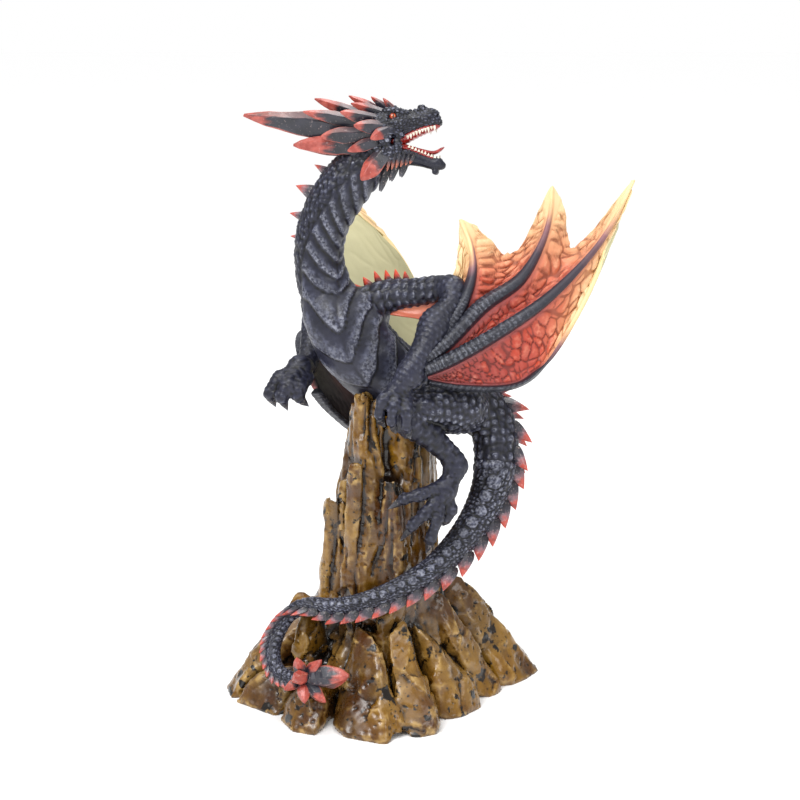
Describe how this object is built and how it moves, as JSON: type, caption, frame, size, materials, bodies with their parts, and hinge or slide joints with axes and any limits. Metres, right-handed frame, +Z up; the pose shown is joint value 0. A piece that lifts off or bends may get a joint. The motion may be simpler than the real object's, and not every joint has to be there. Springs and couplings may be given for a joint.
{
  "type": "dragon figurine on a rock plinth",
  "caption": "Painted resin dragon with spread wings and curled spiked tail, clinging to the top of a rock pillar plinth; a shelf ornament that stands by its own weight.",
  "frame": {"origin": "centre of the plinth's foot, on the flat underside that stands on the shelf", "axes": "+Z up, +X the way the head looks, -Y towards the near wing's open side"},
  "size_m": [0.2053, 0.1912, 0.3013],
  "materials": {
    "dragon": "hand painted resin, satin varnish, grey dry brushing, coral spikes and orange to cream wing webs",
    "rock_base": "hand painted resin, glossy ochre with dark wash in the crevices"
  },
  "bodies": {
    "root": {"dragon": "dragon", "rock_base": "rock_base"}
  },
  "joints": []
}
